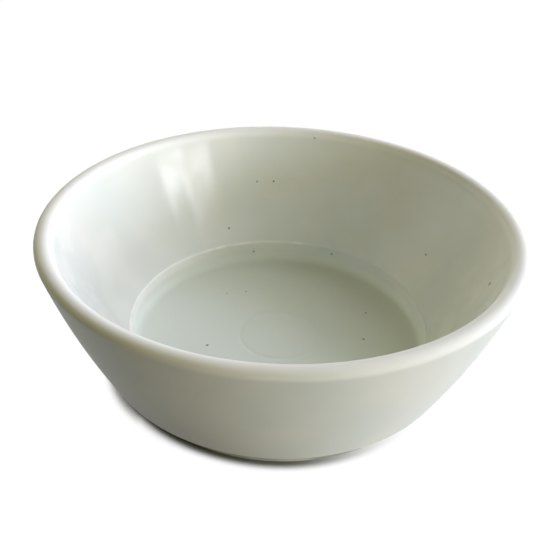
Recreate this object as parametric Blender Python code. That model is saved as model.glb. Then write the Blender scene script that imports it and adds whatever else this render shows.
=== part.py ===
"""Dip bowl: one moulded piece with a rounded lip, a step round the floor and a foot ring.

The bowl stands on z = 0 with its axis on Z. Lengths are metres.
"""

import math

import bmesh
import bpy

# Overall size
RIM_RADIUS = 0.0625          # widest point, on the lip
HEIGHT = 0.0432              # table to the top of the lip
LIP_REACH = 0.0021           # the lip is a flattened round: half its width
LIP_DROP = 0.0016            # from the lip's top down to its widest point
WALL_BOW = 0.0009            # how far both faces of the wall bow outwards at half height

# Inside
LEDGE_RADIUS = 0.0413        # where the sloping wall ends
LEDGE_HEIGHT = 0.0114
STEP_DRAFT = 0.0002          # how much the step narrows towards the floor
FLOOR_HEIGHT = 0.0052
MARK_RADIUS = 0.0111         # shallow round mark that the mould's pin leaves
MARK_DEPTH = 0.00015
MARK_WALL = 0.0003

# Outside and underneath
BASE_RADIUS = 0.0486         # lower edge of the outer wall
BASE_HEIGHT = 0.0057
FOOT_RADIUS = 0.0442         # the foot ring is set in from that edge
FOOT_WIDTH = 0.0030
UNDERSIDE_HEIGHT = 0.0020    # hollow inside the foot ring

# Corner rounds
LEDGE_ROUND = 0.0005
FLOOR_ROUND = 0.0025
BASE_ROUND = 0.0005
FOOT_ROUND = 0.0005

# Fineness
SEGMENTS = 72                # steps round the axis
CORNER_STEPS = 4             # steps in each corner round
LIP_STEPS = 10               # steps over the lip
WALL_STEPS = 8               # steps up each face of the wall


def arc(centre, radius, start, end, steps):
    """Points on an arc, from the start angle to the end angle."""
    points = []
    for i in range(steps + 1):
        angle = start + (end - start) * i / steps
        points.append((centre[0] + radius * math.cos(angle), centre[1] + radius * math.sin(angle)))
    return points


def rounded(corners):
    """An outline through (r, z, round) corners, with each rounded corner as an arc."""
    outline = [corners[0][:2]]
    for before, corner, after in zip(corners, corners[1:], corners[2:]):
        if corner[2] == 0:
            outline.append(corner[:2])
            continue
        back = math.atan2(before[1] - corner[1], before[0] - corner[0])
        ahead = math.atan2(after[1] - corner[1], after[0] - corner[0])
        turn = (ahead - back + math.pi) % (2 * math.pi) - math.pi
        reach = corner[2] / math.sin(abs(turn) / 2)
        middle = back + turn / 2
        centre = (corner[0] + reach * math.cos(middle), corner[1] + reach * math.sin(middle))
        side = math.copysign(math.pi / 2, turn)
        sweep = math.copysign(math.pi - abs(turn), -turn)
        outline += arc(centre, corner[2], back - side, back - side + sweep, CORNER_STEPS)
    outline.append(corners[-1][:2])
    return outline


def bowed(start, end):
    """Points on the shallow arc of a wall face, which bows away from the axis between its ends."""
    half_chord = math.dist(start, end) / 2
    radius = (half_chord ** 2 + WALL_BOW ** 2) / (2 * WALL_BOW)
    half_sweep = math.asin(half_chord / radius)
    slope = math.atan2(abs(end[1] - start[1]), abs(end[0] - start[0]))
    reach = radius - WALL_BOW
    centre = ((start[0] + end[0]) / 2 - reach * math.sin(slope),
              (start[1] + end[1]) / 2 + reach * math.cos(slope))
    first, last = (-half_sweep, half_sweep) if end[1] > start[1] else (half_sweep, -half_sweep)
    middle = slope - math.pi / 2
    return arc(centre, radius, middle + first, middle + last, WALL_STEPS)


def lip_turn(foot, middle, side):
    """Where round the lip a bowed wall that comes up from its foot meets it without a kink."""
    across, down = foot[0] - middle[0], foot[1] - middle[1]
    reach = math.hypot(across, down)
    facing = math.atan2(down, across) + side * math.acos(LIP_DROP / reach)
    facing += 2 * math.atan(2 * WALL_BOW / reach)
    return math.atan2(LIP_DROP * math.sin(facing), LIP_REACH * math.cos(facing))


def lip_between(ledge, base):
    """Points over the lip, from the inner wall that rises from the ledge to the outer wall."""
    middle = (RIM_RADIUS - LIP_REACH, HEIGHT - LIP_DROP)
    start = lip_turn(ledge, middle, -1) % (2 * math.pi)
    end = lip_turn(base, middle, 1)
    turns = [start + (end - start) * i / LIP_STEPS for i in range(LIP_STEPS + 1)]
    return [(middle[0] + LIP_REACH * math.cos(turn), middle[1] + LIP_DROP * math.sin(turn))
            for turn in turns]


def bowl_outline():
    """Half of the bowl's section: from the middle of the floor, over the lip, to the underside."""
    ledge = (LEDGE_RADIUS, LEDGE_HEIGHT)
    base = (BASE_RADIUS, BASE_HEIGHT)
    lip = lip_between(ledge, base)
    inner_wall = bowed(ledge, lip[0])
    outer_wall = bowed(lip[-1], base)
    inside = rounded([
        (0, FLOOR_HEIGHT - MARK_DEPTH, 0),
        (MARK_RADIUS - MARK_WALL, FLOOR_HEIGHT - MARK_DEPTH, 0),
        (MARK_RADIUS, FLOOR_HEIGHT, 0),
        (LEDGE_RADIUS - STEP_DRAFT, FLOOR_HEIGHT, FLOOR_ROUND),
        ledge + (LEDGE_ROUND,),
        inner_wall[1] + (0,),
    ])
    outside = rounded([
        outer_wall[-2] + (0,),
        base + (BASE_ROUND,),
        (FOOT_RADIUS, BASE_HEIGHT, FOOT_ROUND),
        (FOOT_RADIUS, 0, FOOT_ROUND),
        (FOOT_RADIUS - FOOT_WIDTH, 0, FOOT_ROUND),
        (FOOT_RADIUS - FOOT_WIDTH, UNDERSIDE_HEIGHT, FOOT_ROUND),
        (0, UNDERSIDE_HEIGHT, 0),
    ])
    return inside[:-1] + inner_wall[1:-1] + lip + outer_wall[1:-1] + outside[1:]


def turned(name, outline):
    """A closed body turned round Z from an outline whose two ends are on the axis."""
    mesh = bpy.data.meshes.new(name)
    bm = bmesh.new()
    verts = [bm.verts.new((r, 0, z)) for r, z in outline]
    edges = [bm.edges.new(pair) for pair in zip(verts, verts[1:])]
    bmesh.ops.spin(bm, geom=verts + edges, axis=(0, 0, 1), cent=(0, 0, 0),
                   steps=SEGMENTS, angle=2 * math.pi)
    bmesh.ops.remove_doubles(bm, verts=bm.verts, dist=0.000001)
    bmesh.ops.recalc_face_normals(bm, faces=bm.faces)
    bm.to_mesh(mesh)
    bm.free()
    mesh.shade_smooth()
    mesh.set_sharp_from_angle(angle=math.radians(35))
    body = bpy.data.objects.new(name, mesh)
    bpy.context.collection.objects.link(body)
    return body


def off_white_melamine():
    """Hard, dense, off-white moulding plastic with a gloss surface."""
    material = bpy.data.materials.new("off_white_melamine")
    material.use_nodes = True
    shader = material.node_tree.nodes["Principled BSDF"]
    shader.inputs["Base Color"].default_value = (0.68, 0.69, 0.64, 1.0)
    shader.inputs["Roughness"].default_value = 0.28
    shader.inputs["Metallic"].default_value = 0.0
    return material


for leftover in list(bpy.data.objects):
    bpy.data.objects.remove(leftover, do_unlink=True)

bowl = turned("bowl", bowl_outline())
bowl.data.materials.append(off_white_melamine())
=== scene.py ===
"""A dip bowl: one off-white melamine moulding, standing by itself on a pale table.

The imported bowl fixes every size. Lengths are metres, Z is the bowl's axis, and the table is z = 0.
"""

import math

import bpy
from mathutils import Matrix, Vector


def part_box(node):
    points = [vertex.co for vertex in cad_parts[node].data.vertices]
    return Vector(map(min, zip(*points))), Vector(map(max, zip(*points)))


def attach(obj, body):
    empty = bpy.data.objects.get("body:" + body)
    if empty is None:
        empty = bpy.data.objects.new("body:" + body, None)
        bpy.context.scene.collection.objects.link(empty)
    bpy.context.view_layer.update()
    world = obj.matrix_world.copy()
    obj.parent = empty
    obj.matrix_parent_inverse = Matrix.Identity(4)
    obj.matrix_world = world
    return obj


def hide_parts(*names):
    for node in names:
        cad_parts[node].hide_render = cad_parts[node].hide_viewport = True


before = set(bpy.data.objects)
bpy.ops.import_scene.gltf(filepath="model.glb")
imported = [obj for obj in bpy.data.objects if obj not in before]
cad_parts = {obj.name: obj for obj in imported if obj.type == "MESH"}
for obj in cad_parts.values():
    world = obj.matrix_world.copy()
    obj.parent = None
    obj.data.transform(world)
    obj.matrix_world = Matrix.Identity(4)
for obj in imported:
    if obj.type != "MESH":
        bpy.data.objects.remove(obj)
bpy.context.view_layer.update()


# ---------------------------------------------------------------------------------------------
# Bowl: the turned section
# The bowl is pressed from melamine powder between two turned steel moulds, so every face of it is
# a turned face. The wall flares and bows a little, the lip is a flattened round, and a short
# upright step rings the flat floor. The foot ring is set in from the wall's lower edge.
# ---------------------------------------------------------------------------------------------

low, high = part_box("bowl")
RIM_RADIUS = high.x
HEIGHT = high.z
LIP_REACH = 0.0021      # half the lip's width
LIP_DROP = 0.0016       # from the lip's top down to its widest point
WALL_BOW = 0.0009       # how far both faces of the wall bow outwards at half height
LEDGE_RADIUS = 0.0413
LEDGE_HEIGHT = 0.0114
STEP_DRAFT = 0.0002
FLOOR_HEIGHT = 0.0052
BASE_RADIUS = 0.0486
BASE_HEIGHT = 0.0057
FOOT_RADIUS = 0.0442
FOOT_WIDTH = 0.0030
UNDERSIDE_HEIGHT = 0.0020
LEDGE_ROUND = 0.00045
FLOOR_ROUND = 0.0025
EDGE_ROUND = 0.0005

# The pin that lifts the moulding out leaves a hair line round it and a dimple in its middle.
PIN_RADIUS = 0.0111
PIN_LINE_WIDTH = 0.00022
PIN_LINE_DEPTH = 0.00005
DIMPLE_RADIUS = 0.0009
DIMPLE_DEPTH = 0.00006
UNDER_PIN_RADIUS = 0.0080

# Fineness of the turned mesh
FACE_STEP = 0.0015
ROUND_STEPS = 7
LIP_STEPS = 28
STEPS_ROUND = 320


def arc(centre, radius, start, end, steps):
    """Points on an arc from the start angle to the end angle."""
    turns = [start + (end - start) * i / steps for i in range(steps + 1)]
    return [(centre[0] + radius * math.cos(t), centre[1] + radius * math.sin(t)) for t in turns]


def rounded(corners):
    """An outline through (r, z, round) corners, with an arc in each corner that has a round."""
    outline = [corners[0][:2]]
    for before, corner, after in zip(corners, corners[1:], corners[2:]):
        if corner[2] == 0:
            outline.append(corner[:2])
            continue
        back = math.atan2(before[1] - corner[1], before[0] - corner[0])
        ahead = math.atan2(after[1] - corner[1], after[0] - corner[0])
        turn = (ahead - back + math.pi) % (2 * math.pi) - math.pi
        reach = corner[2] / math.sin(abs(turn) / 2)
        middle = back + turn / 2
        centre = (corner[0] + reach * math.cos(middle), corner[1] + reach * math.sin(middle))
        side = math.copysign(math.pi / 2, turn)
        sweep = math.copysign(math.pi - abs(turn), -turn)
        outline += arc(centre, corner[2], back - side, back - side + sweep, ROUND_STEPS)
    outline.append(corners[-1][:2])
    return outline


def bowed(start, end):
    """The shallow arc of a wall face, which bows away from the axis between its two ends."""
    half_chord = math.dist(start, end) / 2
    radius = (half_chord ** 2 + WALL_BOW ** 2) / (2 * WALL_BOW)
    half_sweep = math.asin(half_chord / radius)
    slope = math.atan2(abs(end[1] - start[1]), abs(end[0] - start[0]))
    reach = radius - WALL_BOW
    centre = ((start[0] + end[0]) / 2 - reach * math.sin(slope),
              (start[1] + end[1]) / 2 + reach * math.cos(slope))
    upwards = math.copysign(half_sweep, end[1] - start[1])
    middle = slope - math.pi / 2
    steps = round(2 * half_chord / FACE_STEP)
    return arc(centre, radius, middle - upwards, middle + upwards, steps)


def lip_turn(foot, centre, side):
    """Where round the lip a bowed wall that comes up from its foot meets it without a kink."""
    across, down = foot[0] - centre[0], foot[1] - centre[1]
    reach = math.hypot(across, down)
    facing = math.atan2(down, across) + side * math.acos(LIP_DROP / reach)
    facing += 2 * math.atan(2 * WALL_BOW / reach)
    return math.atan2(LIP_DROP * math.sin(facing), LIP_REACH * math.cos(facing))


def stepped(outline):
    """The same outline with its long straight runs cut up, so that no face is long and thin."""
    fine = [outline[0]]
    for start, end in zip(outline, outline[1:]):
        steps = max(1, round(math.dist(start, end) / FACE_STEP))
        fine += [tuple(a + (b - a) * i / steps for a, b in zip(start, end))
                 for i in range(1, steps + 1)]
    return fine


ledge = (LEDGE_RADIUS, LEDGE_HEIGHT)
base = (BASE_RADIUS, BASE_HEIGHT)
lip_middle = (RIM_RADIUS - LIP_REACH, HEIGHT - LIP_DROP)
lip_start = lip_turn(ledge, lip_middle, -1) % (2 * math.pi)
lip_sweep = lip_turn(base, lip_middle, 1) - lip_start
lip_turns = [lip_start + lip_sweep * i / LIP_STEPS for i in range(LIP_STEPS + 1)]
lip = [(lip_middle[0] + LIP_REACH * math.cos(t), lip_middle[1] + LIP_DROP * math.sin(t))
       for t in lip_turns]
inner_wall = bowed(ledge, lip[0])
outer_wall = bowed(lip[-1], base)
half_line = PIN_LINE_WIDTH / 2
inside = rounded([
    (0, FLOOR_HEIGHT - DIMPLE_DEPTH, 0),
    (DIMPLE_RADIUS / 2, FLOOR_HEIGHT - DIMPLE_DEPTH, 0),
    (DIMPLE_RADIUS, FLOOR_HEIGHT, 0),
    (PIN_RADIUS - half_line, FLOOR_HEIGHT, 0),
    (PIN_RADIUS, FLOOR_HEIGHT - PIN_LINE_DEPTH, 0),
    (PIN_RADIUS + half_line, FLOOR_HEIGHT, 0),
    (LEDGE_RADIUS - STEP_DRAFT, FLOOR_HEIGHT, FLOOR_ROUND),
    ledge + (LEDGE_ROUND,),
    inner_wall[1] + (0,),
])
outside = rounded([
    outer_wall[-2] + (0,),
    base + (EDGE_ROUND,),
    (FOOT_RADIUS, BASE_HEIGHT, EDGE_ROUND),
    (FOOT_RADIUS, 0, EDGE_ROUND),
    (FOOT_RADIUS - FOOT_WIDTH, 0, EDGE_ROUND),
    (FOOT_RADIUS - FOOT_WIDTH, UNDERSIDE_HEIGHT, EDGE_ROUND),
    (UNDER_PIN_RADIUS + half_line, UNDERSIDE_HEIGHT, 0),
    (UNDER_PIN_RADIUS, UNDERSIDE_HEIGHT + PIN_LINE_DEPTH, 0),
    (UNDER_PIN_RADIUS - half_line, UNDERSIDE_HEIGHT, 0),
    (0, UNDERSIDE_HEIGHT, 0),
])
section = stepped(inside[:-1]) + inner_wall[1:-1] + lip + outer_wall[1:-1] + stepped(outside[1:])

outline_mesh = bpy.data.meshes.new("bowl_outline")
outline_mesh.from_pydata([(r, 0, z) for r, z in section],
                         [(i, i + 1) for i in range(len(section) - 1)], [])
outline = bpy.data.objects.new("bowl_outline", outline_mesh)
bpy.context.collection.objects.link(outline)


class Wire:
    """A socket in a node tree. Arithmetic on wires adds the Math nodes that work it out."""

    def __init__(self, tree, socket=None):
        self.tree = tree
        self.socket = socket

    def node(self, kind, settings=None, sockets=None, output=0):
        """Add one node: its settings first, then its sockets' values or links. Gives one output."""
        made = self.tree.nodes.new(kind)
        for name, value in (settings or {}).items():
            setattr(made, name, value)
        for name, value in (sockets or {}).items():
            if isinstance(value, Wire):
                self.tree.links.new(value.socket, made.inputs[name])
            else:
                made.inputs[name].default_value = value
        return Wire(self.tree, made.outputs[output])

    def math(self, operation, *values):
        return self.node("ShaderNodeMath", {"operation": operation}, dict(enumerate(values)))

    def __add__(self, other):
        return self.math("ADD", self, other)

    def __radd__(self, other):
        return self.math("ADD", other, self)

    def __sub__(self, other):
        return self.math("SUBTRACT", self, other)

    def __rsub__(self, other):
        return self.math("SUBTRACT", other, self)

    def __mul__(self, other):
        return self.math("MULTIPLY", self, other)

    def __rmul__(self, other):
        return self.math("MULTIPLY", other, self)

    def __rtruediv__(self, other):
        return self.math("DIVIDE", other, self)


def turning_tree():
    """Turns an outline about Z, closes it, and makes its faces slightly uneven, as pressed."""
    tree = bpy.data.node_groups.new("turned_bowl", "GeometryNodeTree")
    for name, kind in (("Outline", "Object"), ("Steps Round", "Int"), ("Unevenness", "Float"),
                       ("Patch Size", "Float"), ("Ledge Bead", "Float"), ("Bead Width", "Float"),
                       ("Ripple Size", "Float"), ("Ledge Radius", "Float"), ("Ledge Height", "Float"),
                       ("Flat Below", "Float"), ("Uneven Above", "Float"), ("Seed", "Float"),
                       ("Finish", "Material")):
        tree.interface.new_socket(name, in_out="INPUT", socket_type="NodeSocket" + kind)
    tree.interface.new_socket("Bowl", in_out="OUTPUT", socket_type="NodeSocketGeometry")
    start = Wire(tree)
    entry = tree.nodes.new("NodeGroupInput")
    given = {socket.name: Wire(tree, socket) for socket in entry.outputs}

    # A flat sheet, as long as the outline has points, is wrapped round the axis along the outline.
    outline_points = start.node(
        "GeometryNodeObjectInfo", sockets={"Object": given["Outline"]}, output="Geometry")
    count = start.node(
        "GeometryNodeAttributeDomainSize", {"component": "MESH"}, {"Geometry": outline_points})
    sheet = start.node("GeometryNodeMeshGrid", sockets={
        "Size X": 1.0, "Size Y": 1.0, "Vertices X": count, "Vertices Y": given["Steps Round"] + 1})
    place = start.node("GeometryNodeInputPosition")
    along = start.node("ShaderNodeSeparateXYZ", sockets={"Vector": place}, output="X")
    round_way = start.node("ShaderNodeSeparateXYZ", sockets={"Vector": place}, output="Y")
    on_outline = start.node("GeometryNodeSampleIndex", {
        "data_type": "FLOAT_VECTOR", "domain": "POINT"}, {
        "Geometry": outline_points, "Value": place,
        "Index": start.math("ROUND", (along + 0.5) * (count - 1))})
    turned = start.node("ShaderNodeVectorRotate", {"rotation_type": "Z_AXIS"}, {
        "Vector": on_outline, "Angle": (round_way + 0.5) * (2 * math.pi)})
    shell = start.node("GeometryNodeSetPosition", sockets={"Geometry": sheet, "Position": turned})
    shell = start.node("GeometryNodeMergeByDistance", sockets={
        "Geometry": shell, "Distance": 0.000002})

    # The faces swell and sink a little, the ledge's edge is a wavy bead, and the foot stays flat.
    normal = start.node("GeometryNodeInputNormal")
    lumps = start.node("ShaderNodeTexNoise", {"noise_dimensions": "4D", "noise_type": "FBM"}, {
        "Vector": place, "W": given["Seed"], "Scale": 1 / given["Patch Size"], "Detail": 1.0})
    swell = (lumps - 0.5) * 2 * given["Unevenness"]
    flat_place = start.node("ShaderNodeVectorMath", {"operation": "MULTIPLY"}, {
        0: place, 1: (1, 1, 0)})
    off_ledge = start.node("ShaderNodeVectorMath", {"operation": "LENGTH"}, {
        0: flat_place}, "Value")
    high_off = start.node("ShaderNodeSeparateXYZ", sockets={"Vector": place}, output="Z")
    ledge_gap = start.math("ABSOLUTE", off_ledge - given["Ledge Radius"]) + start.math(
        "ABSOLUTE", high_off - given["Ledge Height"])
    ledge_edge = start.node("ShaderNodeMapRange", {"interpolation_type": "SMOOTHSTEP"}, {
        "Value": ledge_gap, "From Min": 0.0, "From Max": given["Bead Width"],
        "To Min": 1.0, "To Max": 0.0})
    ripple = start.node("ShaderNodeTexNoise", {"noise_dimensions": "4D"}, {
        "Vector": place, "W": given["Seed"] + 7, "Scale": 1 / given["Ripple Size"], "Detail": 2.0})
    swell = swell + (ripple * 3 - 1) * given["Ledge Bead"] * ledge_edge
    off_table = start.node("ShaderNodeMapRange", sockets={
        "Value": high_off, "From Min": given["Flat Below"], "From Max": given["Uneven Above"]})
    offset = start.node("ShaderNodeVectorMath", {"operation": "SCALE"}, {
        0: normal, "Scale": swell * off_table})
    shell = start.node("GeometryNodeSetPosition", sockets={"Geometry": shell, "Offset": offset})
    shell = start.node("GeometryNodeSetShadeSmooth", sockets={
        "Geometry": shell, "Shade Smooth": True})
    shell = start.node("GeometryNodeRealizeInstances", sockets={"Geometry": shell})
    shell = start.node("GeometryNodeSetMaterial", sockets={
        "Geometry": shell, "Material": given["Finish"]})
    end = tree.nodes.new("NodeGroupOutput")
    tree.links.new(shell.socket, end.inputs["Bowl"])
    return tree


# ---------------------------------------------------------------------------------------------
# Bowl: the melamine
# Off-white melamine, one colour right through. The inside comes off a polished mould and is
# glossy, the outside is satin. Specks of scorched powder sit in it, and spoons have scored the
# floor. Painted light makes the ledge's edge, the step's face on the left and the lip paler,
# painted shade darkens the foot ring's side and the wall low on the left, and a cooler painted
# light tints the floor.
# ---------------------------------------------------------------------------------------------

BOWL_COLOUR = (0.82, 0.825, 0.78, 1.0)
# The floor's colour stands in for the cooler light on the floor: painted light.
PAINTED_FLOOR_LIGHT = (0.80, 0.85, 0.785, 1.0)
COOL_PATCH_COLOUR = (0.755, 0.79, 0.755, 1.0)
# Near white, for the light painted onto the ledge's edge, the step's face on the left and the lip.
PAINTED_LIGHT_COLOUR = (1.0, 1.0, 0.98, 1.0)
# Dark, for the shade painted onto the foot ring's side and the wall low on the left.
PAINTED_SHADE_COLOUR = (0.20, 0.19, 0.155, 1.0)
SPECK_COLOUR = (0.12, 0.11, 0.08, 1.0)
SATIN_ROUGHNESS = 0.50
GLOSS_ROUGHNESS = 0.12
GLOSS_WEIGHT = 0.9
DULL_GLOSS_SHARE = 0.55      # the least gloss that is left where the surface is dulled
# How far the lip and the step's face on the left are painted lighter: painted light.
LIP_PAINTED_LIGHT = 0.6
STEP_PAINTED_LIGHT = 0.8
# How strongly shade is painted: on the foot ring's side, and on the wall low on the left.
PAINTED_SHADE_STRENGTH = 0.85
LOW_WALL_PAINTED_SHADE = 0.55
SPECK_STRENGTH = 0.8

# Specks on the flat floor, as angle round from +X, distance from the axis and radius of the speck.
FLOOR_SPECKS = ((-162, 0.0208, 0.00042), (25, 0.0284, 0.00030), (-2, 0.0242, 0.00034),
                (130, 0.0254, 0.00022), (117, 0.0234, 0.00024))
# Specks on the step and the wall, as angle, height and radius of the speck.
WALL_SPECKS = (
    (-13, 0.0330, 0.00062), (26, 0.0210, 0.00034), (67, 0.0096, 0.00034), (103, 0.0080, 0.00034),
    (92, 0.0063, 0.00024), (100, 0.0281, 0.00030), (94, 0.0281, 0.00034), (113, 0.0160, 0.00036),
    (81, 0.0412, 0.00036),
)


def inner_reach(height):
    """How far the inner face is from the axis at a height on the step or the wall."""
    if height < LEDGE_HEIGHT:
        return LEDGE_RADIUS - STEP_DRAFT / 2
    faces = zip(inner_wall, inner_wall[1:])
    below, above = next(pair for pair in faces if pair[1][1] >= height)
    share = (height - below[1]) / (above[1] - below[1])
    return below[0] + (above[0] - below[0]) * share


def melamine():
    """The bowl's finish, worked out from where a point is on the bowl."""
    material = bpy.data.materials.new("off_white_melamine")
    material.use_nodes = True
    tree = material.node_tree
    tree.nodes.clear()
    start = Wire(tree)
    place = start.node("ShaderNodeTexCoord", output="Object")
    x = start.node("ShaderNodeSeparateXYZ", sockets={"Vector": place}, output="X")
    y = start.node("ShaderNodeSeparateXYZ", sockets={"Vector": place}, output="Y")
    z = start.node("ShaderNodeSeparateXYZ", sockets={"Vector": place}, output="Z")
    radius = start.math("SQRT", x * x + y * y)

    def fade(value, start_at, end_at):
        return start.node("ShaderNodeMapRange", {"interpolation_type": "SMOOTHSTEP"}, {
            "Value": value, "From Min": start_at, "From Max": end_at})

    def noise(vector, scale, detail=2.0):
        return start.node("ShaderNodeTexNoise", sockets={
            "Vector": vector, "Scale": scale, "Detail": detail})

    # The mould's parting line runs round the lip: inside it is one steel face, outside the other.
    middle_of_wall = 0.0430 + 0.43 * z
    gloss_side = fade(middle_of_wall - radius, -0.0006, 0.0006) * fade(z, 0.0030, 0.0036)
    gloss_side = gloss_side * (1 - fade(z, HEIGHT - 0.0040, HEIGHT - 0.0012))
    wall_gloss = gloss_side * fade(z, 0.0085, 0.0108)

    # Colour: large cool and warm patches, a cooler tint on the floor that is painted light, and
    # scorched specks.
    patches = fade(noise(place, 38.0), 0.35, 0.70)
    colour = start.node("ShaderNodeMix", {"data_type": "RGBA"}, {
        0: patches, 6: BOWL_COLOUR, 7: COOL_PATCH_COLOUR}, output=2)
    # The floor is painted a cooler tint: painted light, for the cooler light on the floor.
    painted_floor_light = gloss_side * (1 - fade(z, 0.0060, 0.0085))
    colour = start.node("ShaderNodeMix", {"data_type": "RGBA"}, {
        0: painted_floor_light, 6: colour, 7: PAINTED_FLOOR_LIGHT}, output=2)
    specks = [(angle, reach, FLOOR_HEIGHT, size) for angle, reach, size in FLOOR_SPECKS]
    specks += [(angle, inner_reach(height), height, size) for angle, height, size in WALL_SPECKS]
    speck = 0.0
    for angle, reach, height, size in specks:
        turn = math.radians(angle)
        centre = (reach * math.cos(turn), reach * math.sin(turn), height)
        gap = start.node("ShaderNodeVectorMath", {"operation": "DISTANCE"}, {
            0: place, 1: centre}, "Value")
        speck = speck + (1 - fade(gap, size * 0.3, size * 1.4))
    colour = start.node("ShaderNodeMix", {"data_type": "RGBA"}, {
        0: start.math("MINIMUM", speck, SPECK_STRENGTH), 6: colour, 7: SPECK_COLOUR}, output=2)

    # Painted light: the ledge's edge gets a painted highlight, most of all at the back on the left.
    off_edge = start.math("ABSOLUTE", radius - LEDGE_RADIUS) + start.math(
        "ABSOLUTE", z - LEDGE_HEIGHT)
    painted_light = (1 - fade(off_edge, 0.0002, 0.0008)) * fade(y * 0.64 - x * 0.77, 0.010, 0.028)
    painted_light = painted_light * (0.45 + 0.55 * fade(noise(place, 140.0), 0.40, 0.60))
    # The step's face on the left, which faces the window, is painted lighter: painted light.
    step_face = fade(z, 0.0068, 0.0108) * (1 - fade(z, LEDGE_HEIGHT, LEDGE_HEIGHT + 0.0004))
    step_face = step_face * (1 - fade(radius, 0.0425, 0.0430))
    painted_light = painted_light + step_face * fade(0 - x, 0.015, 0.038) * STEP_PAINTED_LIGHT
    # The lip's top is painted lighter all round: painted light.
    lip_face = fade(z, HEIGHT - 0.0028, HEIGHT - 0.0012)
    painted_light = start.math("MINIMUM", painted_light + lip_face * LIP_PAINTED_LIGHT, 1.0)
    colour = start.node("ShaderNodeMix", {"data_type": "RGBA"}, {
        0: painted_light, 6: colour, 7: PAINTED_LIGHT_COLOUR}, output=2)

    # Painted shade: the side of the foot ring, under the wall's overhang, is painted darker in uneven
    # patches, and the wall low down on the left, away from the window, is painted darker too.
    painted_shade = (1 - fade(z, 0.0035, 0.0056)) * fade(radius, 0.0436, 0.0440) * (
        0.30 + 0.45 * fade(noise(place, 60.0, 3.0), 0.35, 0.65))
    # The wall low down on the left, away from the window, is painted darker: painted shade.
    low_wall_shade = (1 - fade(z, 0.0055, 0.0280)) * fade(radius - middle_of_wall, -0.0006, 0.0006)
    low_wall_shade = low_wall_shade * fade(0 - x, -0.010, 0.035) * LOW_WALL_PAINTED_SHADE
    painted_shade = start.math("MINIMUM", painted_shade + low_wall_shade, 1.0)
    colour = start.node("ShaderNodeMix", {"data_type": "RGBA"}, {
        0: painted_shade * PAINTED_SHADE_STRENGTH, 6: colour, 7: PAINTED_SHADE_COLOUR}, output=2)

    # Roughness: satin, with dull smears, and the foot worn rough. The gloss inside is a coat on it.
    smears = noise(place, 90.0, 3.0)
    roughness = SATIN_ROUGHNESS + (smears - 0.5) * 0.10
    foot_wear = 1 - fade(z, 0.0002, 0.0010)
    roughness = roughness + foot_wear * 0.25

    # Relief: a fine orange peel, and hair scratches that a spoon leaves round the floor.
    peel = noise(place, 900.0, 1.0)
    angle_round = start.math("ARCTAN2", y, x)
    sweep = start.node("ShaderNodeCombineXYZ", sockets={
        "X": radius * 2600, "Y": angle_round * 2.2, "Z": 0.0})
    hairs = fade(noise(sweep, 1.0, 1.0), 0.70, 0.74) * fade(noise(place, 160.0), 0.52, 0.60)
    hairs = hairs * gloss_side
    relief = peel * 0.35 - hairs
    bump = start.node("ShaderNodeBump", sockets={
        "Strength": 0.25, "Distance": 0.00002, "Height": relief})

    still_glossy = DULL_GLOSS_SHARE + (1 - DULL_GLOSS_SHARE) * fade(noise(place, 75.0), 0.40, 0.56)
    shader = start.node("ShaderNodeBsdfPrincipled", sockets={
        "Base Color": colour, "Roughness": roughness, "Normal": bump, "IOR": 1.5,
        "Specular IOR Level": 0.16, "Coat Weight": wall_gloss * GLOSS_WEIGHT * still_glossy,
        "Coat Roughness": GLOSS_ROUGHNESS, "Coat IOR": 1.5})
    out = tree.nodes.new("ShaderNodeOutputMaterial")
    tree.links.new(shader.socket, out.inputs["Surface"])
    return material


turned = bpy.data.objects.new("turning", bpy.data.meshes.new("turning"))
bpy.context.collection.objects.link(turned)
turning = turned.modifiers.new("turning", "NODES")
turning.node_group = turning_tree()
bowl_sizes = {
    "Outline": outline, "Steps Round": STEPS_ROUND, "Unevenness": 0.00004, "Patch Size": 0.030,
    "Ledge Bead": 0.00018, "Bead Width": 0.0009, "Ripple Size": 1 / 130, "Ledge Radius": LEDGE_RADIUS,
    "Ledge Height": LEDGE_HEIGHT, "Flat Below": 0.0006, "Uneven Above": 0.0030, "Seed": 3.0,
    "Finish": melamine(),
}
for socket in turning.node_group.interface.items_tree:
    if socket.name in bowl_sizes:
        turning[socket.identifier] = bowl_sizes[socket.name]
bpy.context.view_layer.update()
drawn = turned.evaluated_get(bpy.context.evaluated_depsgraph_get())
bowl_mesh = bpy.data.meshes.new_from_object(drawn)
bowl_mesh.name = "dip_bowl"
for spent in (turned, outline):
    bpy.data.objects.remove(spent, do_unlink=True)
bowl = bpy.data.objects.new("dip_bowl", bowl_mesh)
bpy.context.collection.objects.link(bowl)
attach(bowl, "root")
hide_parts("bowl")


# ---------------------------------------------------------------------------------------------
# Table
# A plain pale table top for the bowl to stand on. It isn't part of the object.
# ---------------------------------------------------------------------------------------------

TABLE_SIZE = 3.0
TABLE_GREY = 0.4
TABLE_BLEACH = 0.95          # how much of the lit table is seen as plain white
TABLE_WHITE = 1.06
SHADE_GREY = 0.22            # the table where the bowl's contact shadow hides it
NEAR_REACH = 0.0042          # how far the shadow reaches at the front, and at the left
FAR_REACH = 0.0062

table_mesh = bpy.data.meshes.new("table_top")
half_table = TABLE_SIZE / 2
table_corners = [(-half_table, -half_table, 0), (half_table, -half_table, 0),
                 (half_table, half_table, 0), (-half_table, half_table, 0)]
table_mesh.from_pydata(table_corners, [], [(0, 1, 2, 3)])
table = bpy.data.objects.new("table_top", table_mesh)
bpy.context.collection.objects.link(table)


def seen_directly(start):
    """1 for a ray that shows the background: from the camera, or by way of gloss or glass."""
    path = tuple(start.node("ShaderNodeLightPath", output=name)
                 for name in ("Is Camera Ray", "Is Glossy Ray", "Is Transmission Ray"))
    return start.math("MINIMUM", path[0] + path[1] + path[2], 1.0)


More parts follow.
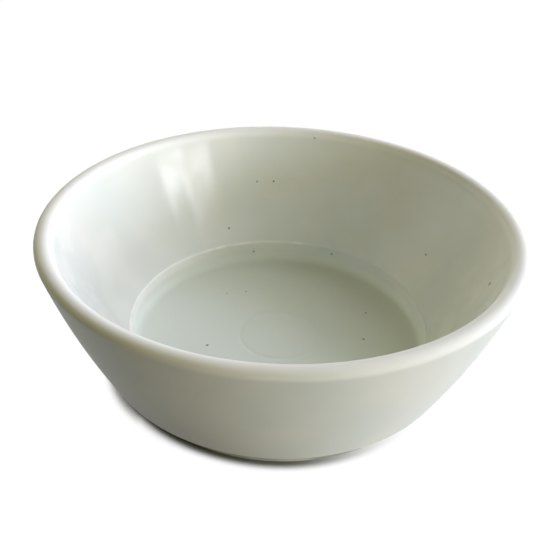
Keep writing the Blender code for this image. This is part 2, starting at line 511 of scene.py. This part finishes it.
table_finish = bpy.data.materials.new("pale_table")
table_finish.use_nodes = True
table_tree = table_finish.node_tree
table_tree.nodes.clear()
table_start = Wire(table_tree)
table_cloth = table_start.node("ShaderNodeBsdfDiffuse", sockets={
    "Color": (TABLE_GREY, TABLE_GREY, TABLE_GREY, 1.0)})
table_shade = table_start.node("ShaderNodeBsdfDiffuse", sockets={
    "Color": (SHADE_GREY, SHADE_GREY, SHADE_GREY * 0.88, 1.0)})
table_white = table_start.node("ShaderNodeEmission", sockets={"Strength": TABLE_WHITE})
across = table_start.node("ShaderNodeSeparateXYZ", sockets={
    "Vector": table_start.node("ShaderNodeTexCoord", output="Object")}, output="X")


def blend(start_at, end_at):
    """0 left of the start and 1 right of the end, across the table."""
    return table_start.node("ShaderNodeMapRange", {"interpolation_type": "SMOOTHSTEP"}, {
        "Value": across, "From Min": start_at, "From Max": end_at})


# Painted shadow: the gap under the wall is painted dark, reaching farther on the left, away from
# the window, and painted out on the right, where the window lights it.
reach = FAR_REACH + blend(-0.045, -0.012) * (NEAR_REACH - FAR_REACH)
open_sky = table_start.node("ShaderNodeAmbientOcclusion", {"samples": 16}, {
    "Distance": reach}, output="AO")
lit = blend(0.002, 0.038)
clear = table_start.node("ShaderNodeMapRange", {"interpolation_type": "SMOOTHSTEP"}, {
    "Value": open_sky, "From Min": 0.60, "From Max": 0.95})
clear = lit + (1 - lit) * clear
seen = seen_directly(table_start)
table_grey = table_start.node("ShaderNodeMixShader", sockets={
    0: seen, 1: table_cloth, 2: table_shade})
table_look = table_start.node("ShaderNodeMixShader", sockets={
    0: seen * TABLE_BLEACH * clear, 1: table_grey, 2: table_white})
table_out = table_tree.nodes.new("ShaderNodeOutputMaterial")
table_tree.links.new(table_look.socket, table_out.inputs["Surface"])
table_mesh.materials.append(table_finish)


# ---------------------------------------------------------------------------------------------
# Light
# Soft daylight from windows on the right and behind on the right, and weak warm light that the
# room sends back from its other sides. Only the two bright panes show in the gloss inside.
# ---------------------------------------------------------------------------------------------

DAYLIGHT = Vector((0.95, 1.0, 1.26))
ROOM_LIGHT = Vector((1.14, 1.0, 0.22))

# Each light: name, direction round from +X and up from the table, width and height as seen from the
# bowl, all in degrees, then the power of its daylight and of the warm light mixed with it.
LIGHTS = (
    ("window_right", -18, 8, 50, 12, 6.0, 0.0),
    ("pane_near", -19.6, 22.2, 15, 4.2, 0.46, 0.09),
    ("pane_far", -34, 26.5, 17, 6, 0.55, 0.10),
    ("window_middle", 15, 39, 30, 28, 1.75, 0.0),
    ("window_behind", 45, 32, 30, 12, 3.25, 0.1),
    ("window_top", 45, 46, 30, 16, 0.8, 0.4),
    ("room_front_low", -45, 8, 30, 12, 0.0, 1.1),
    ("room_front", -45, 25, 30, 24, 0.0, 1.1),
    ("room_behind", 110, 12, 40, 24, 1.4, 0.85),
    ("room_left_low", 150, 12, 40, 24, 0.4, 0.2),
    ("room_left", 150, 36, 40, 24, 0.5, 0.75),
    ("room_above", 180, 66, 50, 24, 0.0, 0.55),
)

for name, azimuth, elevation, width, height, day_power, room_power in LIGHTS:
    light = bpy.data.lights.new(name, "AREA")
    light.shape = "RECTANGLE"
    light.size = 2 * math.tan(math.radians(width / 2))
    light.size_y = 2 * math.tan(math.radians(height / 2))
    light.energy = day_power + room_power
    light.color = (day_power * DAYLIGHT + room_power * ROOM_LIGHT) / light.energy
    lamp = bpy.data.objects.new(name, light)
    bpy.context.collection.objects.link(lamp)
    turn, lift = math.radians(azimuth), math.radians(elevation)
    flat = math.cos(lift)
    away = Vector((math.cos(turn) * flat, math.sin(turn) * flat, math.sin(lift)))
    lamp.location = away + Vector((0, 0, HEIGHT / 2))
    lamp.visible_glossy = name.startswith("pane")
    lamp.rotation_euler = away.to_track_quat("Z", "Y").to_euler()

room = bpy.data.worlds.new("room")
bpy.context.scene.world = room
room.use_nodes = True
room_tree = room.node_tree
room_tree.nodes.clear()
room_start = Wire(room_tree)
room_colour = room_start.node("ShaderNodeMix", {"data_type": "RGBA"}, {
    0: seen_directly(room_start), 6: (0.0, 0.0, 0.0, 1.0), 7: (1.0, 1.0, 1.0, 1.0)}, output=2)
room_light = room_start.node("ShaderNodeBackground", sockets={
    "Color": room_colour, "Strength": 1.0})
room_out = room_tree.nodes.new("ShaderNodeOutputWorld")
room_tree.links.new(room_light.socket, room_out.inputs["Surface"])


# ---------------------------------------------------------------------------------------------
# Camera
# Near the bowl and above it, at the height of someone who leans over the table, held a little
# out of level.
# ---------------------------------------------------------------------------------------------

camera_data = bpy.data.cameras.new("camera")
camera_data.lens = 49.63
camera_data.sensor_width = 36.0
camera = bpy.data.objects.new("camera", camera_data)
bpy.context.collection.objects.link(camera)
camera.location = (0.0, -0.1759, 0.1392)
aim = Vector((-0.00024, 0.0, 0.02365))
camera_lean = math.radians(2.22)
look = (camera.location - aim).to_track_quat("Z", "Y").to_matrix().to_4x4()
camera.rotation_euler = (look @ Matrix.Rotation(camera_lean, 4, "Z")).to_euler()
bpy.context.scene.camera = camera
bpy.context.scene.view_settings.view_transform = "Standard"
